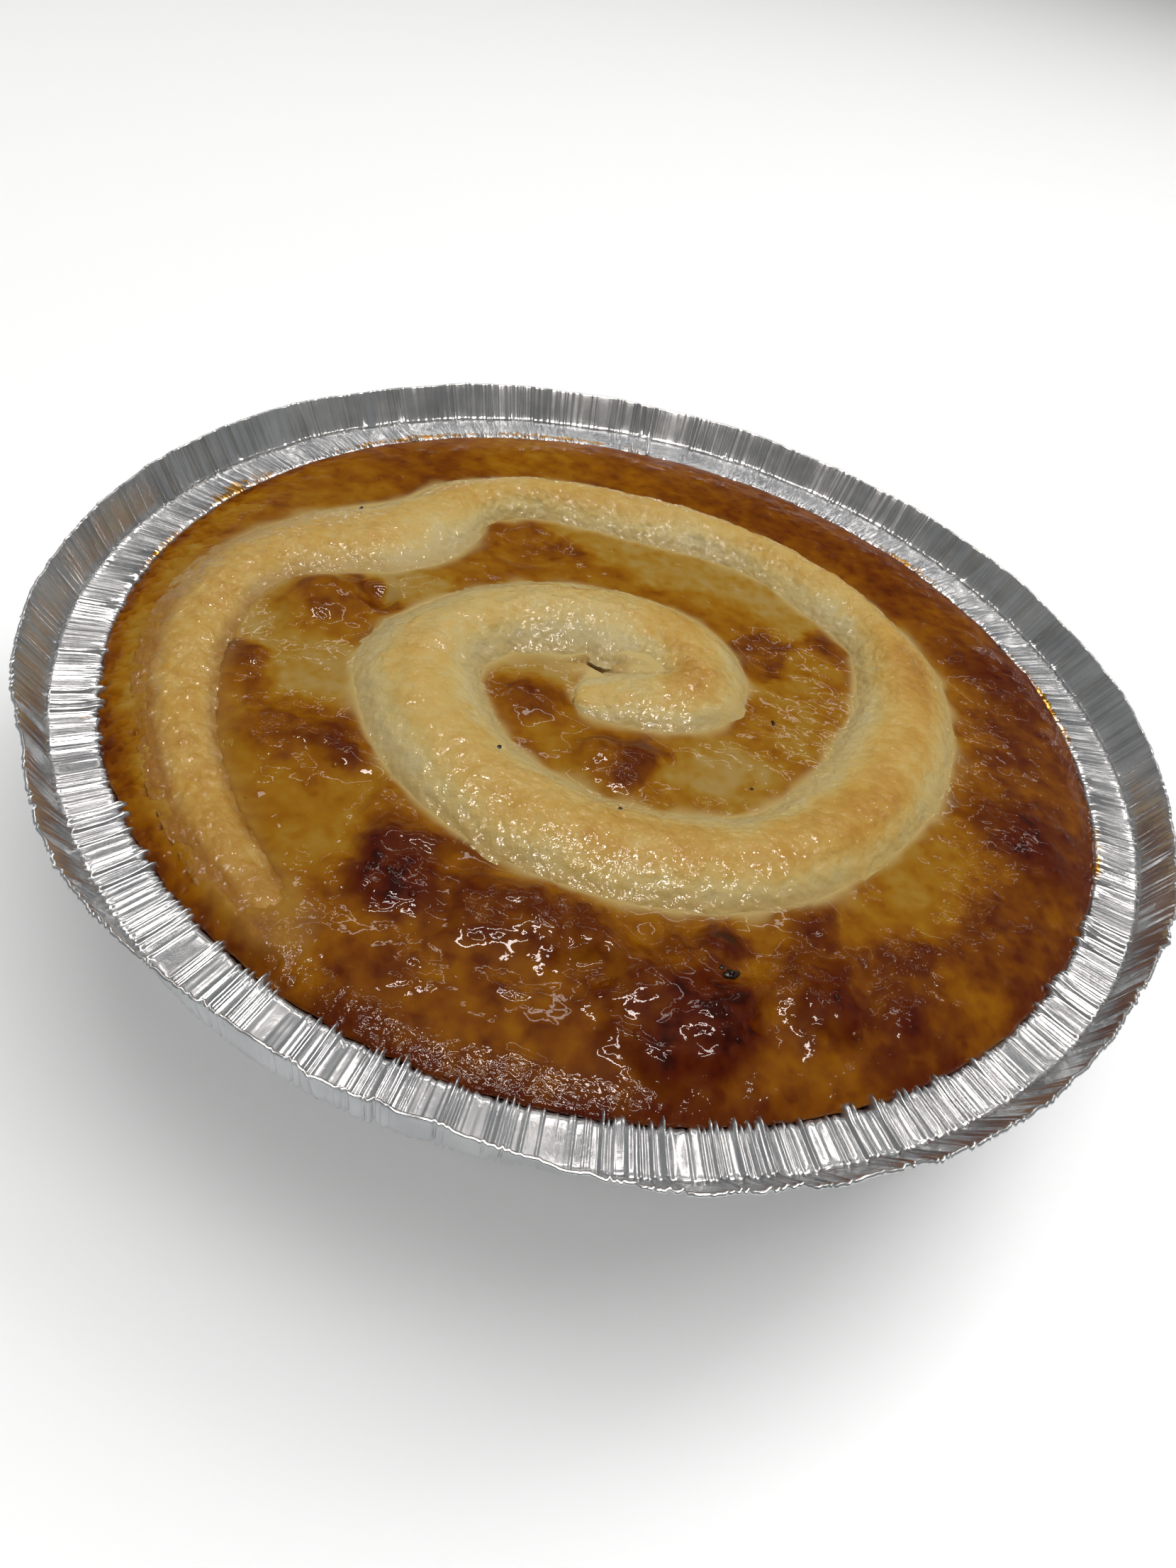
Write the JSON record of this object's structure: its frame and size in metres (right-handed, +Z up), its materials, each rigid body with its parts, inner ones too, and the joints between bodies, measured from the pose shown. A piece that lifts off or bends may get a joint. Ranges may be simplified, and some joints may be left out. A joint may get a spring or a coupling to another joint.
{
  "type": "coconut flan",
  "caption": "Whole baked coconut flan in its round foil pan: a low domed caramel custard with a rope of pale dough laid on it in a spiral.",
  "frame": {"origin": "middle of the pan's underside, on the surface that it stands on", "axes": "+Z up out of the pan, +X to the right and +Y away from the viewer as the picture shows it"},
  "size_m": [0.2351, 0.2362, 0.0555],
  "materials": {
    "foil": "thin crimped aluminium foil, bright, with fine folds",
    "custard": null,
    "dough": null
  },
  "bodies": {
    "root": {"foil_pan": "foil", "coconut_custard": "custard", "dough_spiral": "dough"}
  },
  "joints": []
}
